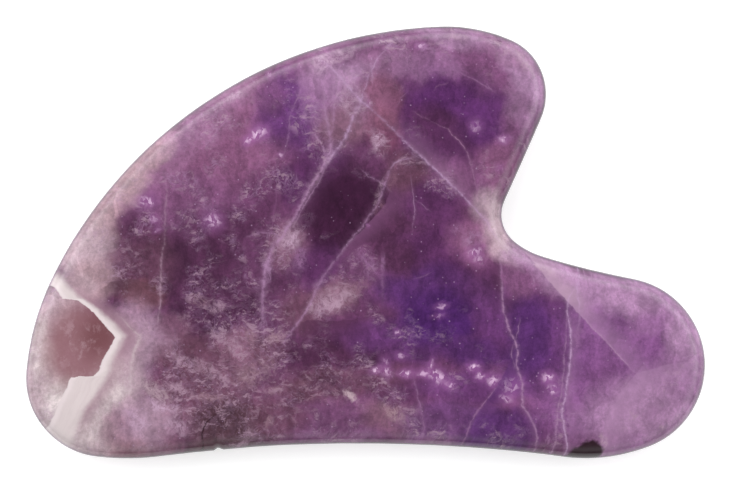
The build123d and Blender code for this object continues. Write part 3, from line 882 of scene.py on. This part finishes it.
def grain(graph, colour, solid, flat):
    """The clouds, crystal faces, threads, flakes and specks that run through the whole stone."""
    broken = graph.warp(graph.warp(flat, 3.0, 1.0), 0.8, 0.3)
    clouds = graph.noise(flat, 3.0, detail=6, roughness=0.7)
    colour = graph.shade(colour, graph.fade(clouds, 0.25, 0.75, 0.7, 1.24))
    faces = graph.cells(broken, 2.4, squash=(1.2, 0.8, 1), output="Color")
    faces = graph.add("SeparateColor", {0: faces}).outputs[0]
    colour = graph.shade(colour, graph.fade(faces, 0.0, 1.0, 0.9, 1.1))
    streaks = graph.noise(broken, 0.8, detail=3, roughness=0.65, squash=(1, 0.35, 1))
    colour = graph.shade(colour, graph.fade(streaks, 0.25, 0.75, 0.84, 1.12))
    fine = graph.noise(solid, 0.4, detail=2, roughness=0.8)
    colour = graph.shade(colour, graph.fade(fine, 0.25, 0.75, 0.86, 1.12))

    patches = graph.fade(graph.noise(flat, 4.5, detail=2), 0.45, 0.65)
    for shape in CLEAR:
        patches = graph.math("SUBTRACT", patches, graph.spot(broken, *shape))
    granular = patches
    for shape in GRANULAR:
        granular = graph.math("MAXIMUM", granular, graph.spot(broken, *shape))
    kinds = ((3.4, 0.02, 0.2, patches), (1.5, 0.03, 0.1, patches), (1.0, 0.09, 0.12, granular))
    for size, width, most, where in kinds:
        threads = graph.threads(broken, size, 3, 0.6, width, most)
        colour = graph.mix(graph.math("MULTIPLY", threads, where), colour, seen(THREAD))

    flakes = graph.noise(broken, 0.8, detail=4, roughness=0.75, squash=(0.6, 1, 1))
    here = graph.math("MULTIPLY", graph.fade(flakes, 0.51, 0.62, 0.0, 0.6), granular)
    colour = graph.mix(here, colour, seen(ASH))
    specks = graph.cells(solid, 0.7)
    chosen = graph.fade(graph.noise(solid, 1.3, detail=1), 0.52, 0.66)
    here = graph.math("MULTIPLY", graph.fade(specks, 0.2, 0.06, 0.0, 0.5), chosen)
    return graph.mix(here, colour, seen(THREAD))


def frost(graph, colour, flat):
    """Patches of fine bubbles, flakes and threads."""
    ragged = graph.warp(graph.warp(flat, 2.2, 1.0), 0.6, 0.4)
    fibres = graph.noise(ragged, 0.7, detail=4, roughness=0.8, squash=(1, 0.6, 1))
    flakes = graph.fade(fibres, 0.47, 0.6, 0.0, 1.0)
    for size, width, most in ((2.4, 0.045, 0.7), (1.3, 0.06, 0.5)):
        flakes = graph.math("MAXIMUM", flakes, graph.threads(ragged, size, 4, 0.55, width, most))
    flakes = graph.math("MULTIPLY_ADD", flakes, 0.85, 0.15)
    for *shape, tint, strength in FROST:
        here = graph.math("MULTIPLY", graph.spot(ragged, *shape, strength, 0.8), flakes)
        colour = graph.mix(here, colour, seen(tint))
    return colour


def painted_glints(graph, colour, flat):
    """Painted glints: clusters of small planes inside the stone whose flashes of light are painted into the
    colour, each in a soft painted glow.
    """
    ragged = graph.warp(graph.warp(flat, 0.9, 0.4), 0.35, 0.15)
    planes = graph.cells(ragged, 0.36, squash=(1, 0.75, 1), output="Color")
    planes = graph.fade(graph.add("SeparateColor", {0: planes}).outputs[0], 0.25, 1.0, 0.0, 0.95)
    for x, y, length, width, turn, strength in GLINT_CLUSTERS:
        glow_size = (length * GLOW_LENGTH, width * GLOW_WIDTH)
        glow = graph.spot(ragged, x, y, *glow_size, turn, strength * GLOW_STRENGTH, 1.0)
        colour = graph.mix(glow, colour, seen(PAINTED_GLOW))
        plane_size = (length * PLANE_SPREAD, width * PLANE_SPREAD)
        cluster = graph.spot(ragged, x, y, *plane_size, turn, strength, 0.8)
        colour = graph.mix(graph.math("MULTIPLY", cluster, planes), colour, seen(PAINTED_GLINT))
    return colour


def veins(graph, colour, flat):
    """Healed cracks and cleavage planes, seen edge on, each a little uneven along its length."""
    wavy = graph.warp(graph.warp(flat, 2.4, 0.25), 0.6, 0.14)
    parts = graph.add("SeparateXYZ", {0: wavy}).outputs
    uneven = graph.fade(graph.noise(flat, 0.8, detail=4, roughness=0.7), 0.34, 0.6, 0.3, 1.0)
    for tint, reach, side, strength, points in STEPS:
        colour = graph.mix(step(graph, parts, reach, side, strength, points), colour, seen(tint))
    for tint, width, strength, points in VEINS:
        share = vein(graph, parts, width * VEIN_CORE, strength * VEIN_GAIN, points)
        colour = graph.mix(graph.math("MULTIPLY", share, uneven), colour, seen(tint))
    return colour


def cream_band(graph, colour, flat):
    """The cream band and the smoky pocket behind its crisp inner edge."""
    wavy = graph.warp(graph.warp(flat, 1.6, 0.2), 0.4, 0.1)
    across, along, _ = graph.add("SeparateXYZ", {0: wavy}).outputs
    edges = []
    for points in (BAND_INSIDE, BAND_OUTSIDE):
        line = sorted((y, x) for x, y in points)
        edges.append(route(graph, along, line, line[0][0], line[-1][0])[1])
    past_inside = graph.math("SUBTRACT", across, edges[0])
    past_outside = graph.math("SUBTRACT", across, edges[1])

    pocket = graph.fade(past_inside, 0.12, -0.12)
    for shape, tint in ((POCKET_SMOKE, SMOKE), (POCKET_TIP, TIP)):
        here = graph.math("MULTIPLY", pocket, graph.spot(wavy, *shape))
        colour = graph.mix(here, colour, seen(tint))
    wisps = graph.noise(graph.warp(flat, 1.5, 0.6), 1.4, detail=5, roughness=0.7, squash=(1, 0.7, 1))
    wisps = graph.math("MULTIPLY", graph.fade(wisps, 0.5, 0.66, 0.0, 0.45), pocket)
    wisps = graph.math("MULTIPLY", wisps, graph.spot(wavy, *POCKET_WISPS))
    colour = graph.mix(wisps, colour, seen(BLUSH))

    beside = graph.fade(past_outside, 3.6, -0.2, 0.0, 0.75)
    halo = graph.math("MULTIPLY", beside, graph.fade(past_inside, 0.0, 0.2))
    halo = graph.math("MULTIPLY", halo, graph.spot(wavy, *BAND_HALO))
    colour = graph.mix(halo, colour, seen(FOG))
    across_band = graph.add("CombineXYZ", {0: past_inside, 1: graph.math("MULTIPLY", along, 0.1)}).outputs[0]
    layers = graph.fade(graph.noise(across_band, 0.6, detail=3, roughness=0.6), 0.3, 0.62, 0.85, 1.0)
    body = graph.math("MULTIPLY", graph.fade(past_inside, -0.12, 0.15), graph.fade(past_outside, 0.5, -0.9))
    colour = graph.mix(graph.math("MULTIPLY", body, layers), colour, seen(CREAM))
    ridge = graph.math("MULTIPLY", graph.fade(past_inside, -0.1, 0.1), graph.fade(past_inside, 0.9, 0.3))
    return graph.mix(ridge, colour, seen(IVORY))


def black_grain(graph, colour, flat):
    """The black grain at the scraping edge."""
    jagged = graph.warp(graph.warp(flat, 1.6, 0.7), 0.5, 0.2)
    return graph.mix(graph.spot(jagged, *BLACK_GRAIN), colour, seen(INK))


def edge_shade(graph, colour, z):
    """Painted shade on the rim: a deep violet, strongest at the middle height, for the dark line round the
    outline and the deeper colour of looking along the stone's length.
    """
    height = graph.math("ABSOLUTE", graph.math("SUBTRACT", z, MIDDLE))
    rim = graph.fade(height, RIM_TOP, RIM_BOTTOM, 0.0, RIM_SHARE)
    return graph.mix(rim, colour, seen(RIM_SHADE_TINT), "MULTIPLY")


def polish(graph, colour, solid):
    """A hand polish over the stone: glossy, with faint ripples and a few pits."""
    surface = graph.surface
    colour = graph.mix(1.0, colour, STUDIO_GAIN, "MULTIPLY")
    graph.links.new(colour, surface.inputs["Base Color"])
    smears = graph.noise(solid, 4.0, detail=4, roughness=0.6)
    graph.links.new(graph.fade(smears, 0.3, 0.7, 0.1, 0.22), surface.inputs["Roughness"])
    surface.inputs["IOR"].default_value = 1.54
    surface.inputs["Specular IOR Level"].default_value = 0.3
    pits = graph.fade(graph.cells(solid, 1.1), 0.14, 0.02)
    ripples = graph.noise(solid, 1.5, detail=3)
    relief = graph.math("MULTIPLY_ADD", pits, -0.4, ripples)
    bump = graph.add("Bump", {"Height": relief, "Strength": 0.12, "Distance": 0.05 * MM}).outputs[0]
    graph.links.new(bump, surface.inputs["Normal"])


# ------------------------------------------------------------------------------------- camera and studio

# The camera looks straight down. How much of the plate's length and surroundings it sees across, where it
# stands over the plate, and its lens and sensor
VIEW_WIDTH = 92.9
VIEW_MIDDLE = (0.05, -0.08)
LENS = 120.0
SENSOR = 36.0

# The floor: half its size in metres, how far it is below the plate, how pale it is and how brightly it
# glows
FLOOR_REACH = 3.0
FLOOR_GAP = 0.05
FLOOR_SHADE = 0.8
FLOOR_GLOW = 0.4

# The world's brightness: how it changes along an axis of the sky, from one place to another and one level
# to another
WORLD_LIGHT = [
    ("Z", 0.1, 0.5, 0.18, 1.0),
    ("Z", 0.55, 0.95, 1.0, 0.03),
    ("Y", -0.8, 0.3, 0.3, 1.0),
]
WORLD_STRENGTH = 3.4

# The softboxes: azimuth, with 0 towards +X and 90 towards +Y, and elevation in degrees, then distance,
# width and height in metres, and power in watts
SOFTBOXES = {
    "key": (135, 45, 1.0, 1.4, 0.7, 3.0),
    "side": (10, 45, 1.0, 0.9, 0.6, 1.5),
}


def make_camera():
    """Looks straight down on the plate, which fills most of the picture's width."""
    data = bpy.data.cameras.new("camera")
    data.lens = LENS
    data.sensor_width = SENSOR
    camera = bpy.data.objects.new("camera", data)
    camera.location = Vector((*VIEW_MIDDLE, MIDDLE + VIEW_WIDTH / data.sensor_width * LENS)) * MM
    bpy.context.scene.collection.objects.link(camera)
    bpy.context.scene.camera = camera


def make_floor():
    """A plain pale floor. Its back is clear, so that the underside can be looked at from below."""
    corners = [(x * FLOOR_REACH, y * FLOOR_REACH, 0) for x, y in ((-1, -1), (1, -1), (1, 1), (-1, 1))]
    data = bpy.data.meshes.new("floor")
    data.from_pydata(corners, [], [(0, 1, 2, 3)])
    floor = bpy.data.objects.new("floor", data)
    bpy.context.scene.collection.objects.link(floor)
    floor.location.z = lowest.z - FLOOR_GAP * MM
    material = bpy.data.materials.new("floor")
    material.use_nodes = True
    nodes, links = material.node_tree.nodes, material.node_tree.links
    surface = nodes["Principled BSDF"]
    surface.inputs["Base Color"].default_value = (FLOOR_SHADE, FLOOR_SHADE, FLOOR_SHADE, 1)
    surface.inputs["Roughness"].default_value = 0.9
    surface.inputs["Specular IOR Level"].default_value = 0.1
    surface.inputs["Emission Color"].default_value = (1, 1, 1, 1)
    surface.inputs["Emission Strength"].default_value = FLOOR_GLOW
    clear = nodes.new("ShaderNodeBsdfTransparent")
    facing = nodes.new("ShaderNodeNewGeometry")
    mix = nodes.new("ShaderNodeMixShader")
    links.new(facing.outputs["Backfacing"], mix.inputs[0])
    links.new(surface.outputs[0], mix.inputs[1])
    links.new(clear.outputs[0], mix.inputs[2])
    links.new(mix.outputs[0], nodes["Material Output"].inputs["Surface"])
    data.materials.append(material)


def add_softbox(name, azimuth, elevation, distance, width, height, power):
    """A soft rectangular light aimed at the plate."""
    data = bpy.data.lights.new(name, "AREA")
    data.shape = "RECTANGLE"
    data.size = width
    data.size_y = height
    data.energy = power
    light = bpy.data.objects.new(name, data)
    a, e = math.radians(azimuth), math.radians(elevation)
    direction = Vector((math.cos(a) * math.cos(e), math.sin(a) * math.cos(e), math.sin(e)))
    light.location = direction * distance
    light.rotation_mode = "QUATERNION"
    light.rotation_quaternion = direction.to_track_quat("Z", "Y")
    bpy.context.scene.collection.objects.link(light)


def make_studio():
    """Soft light from all round, dim straight above, low down and towards -Y, as the polish would show it."""
    scene = bpy.context.scene
    scene.view_settings.view_transform = "Standard"
    world = bpy.data.worlds.new("studio")
    world.use_nodes = True
    scene.world = world
    nodes, links = world.node_tree.nodes, world.node_tree.links
    place = nodes.new("ShaderNodeTexCoord")
    split = nodes.new("ShaderNodeSeparateXYZ")
    links.new(place.outputs["Generated"], split.inputs[0])
    brightness = None
    for axis, start, end, low, high in WORLD_LIGHT:
        fade = nodes.new("ShaderNodeMapRange")
        fade.interpolation_type = "SMOOTHSTEP"
        for name, value in (("From Min", start), ("From Max", end), ("To Min", low), ("To Max", high)):
            fade.inputs[name].default_value = value
        links.new(split.outputs[axis], fade.inputs["Value"])
        if brightness is None:
            brightness = fade.outputs[0]
        else:
            both = nodes.new("ShaderNodeMath")
            both.operation = "MULTIPLY"
            links.new(brightness, both.inputs[0])
            links.new(fade.outputs[0], both.inputs[1])
            brightness = both.outputs[0]
    links.new(brightness, nodes["Background"].inputs["Color"])
    nodes["Background"].inputs["Strength"].default_value = WORLD_STRENGTH
    for name, settings in SOFTBOXES.items():
        add_softbox(name, *settings)


# --------------------------------------------------------------------------------------------- the scene

plate = make_plate()
plate.data.materials.append(banded_amethyst())
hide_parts("scraper")
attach(plate, "root")
make_camera()
make_floor()
make_studio()
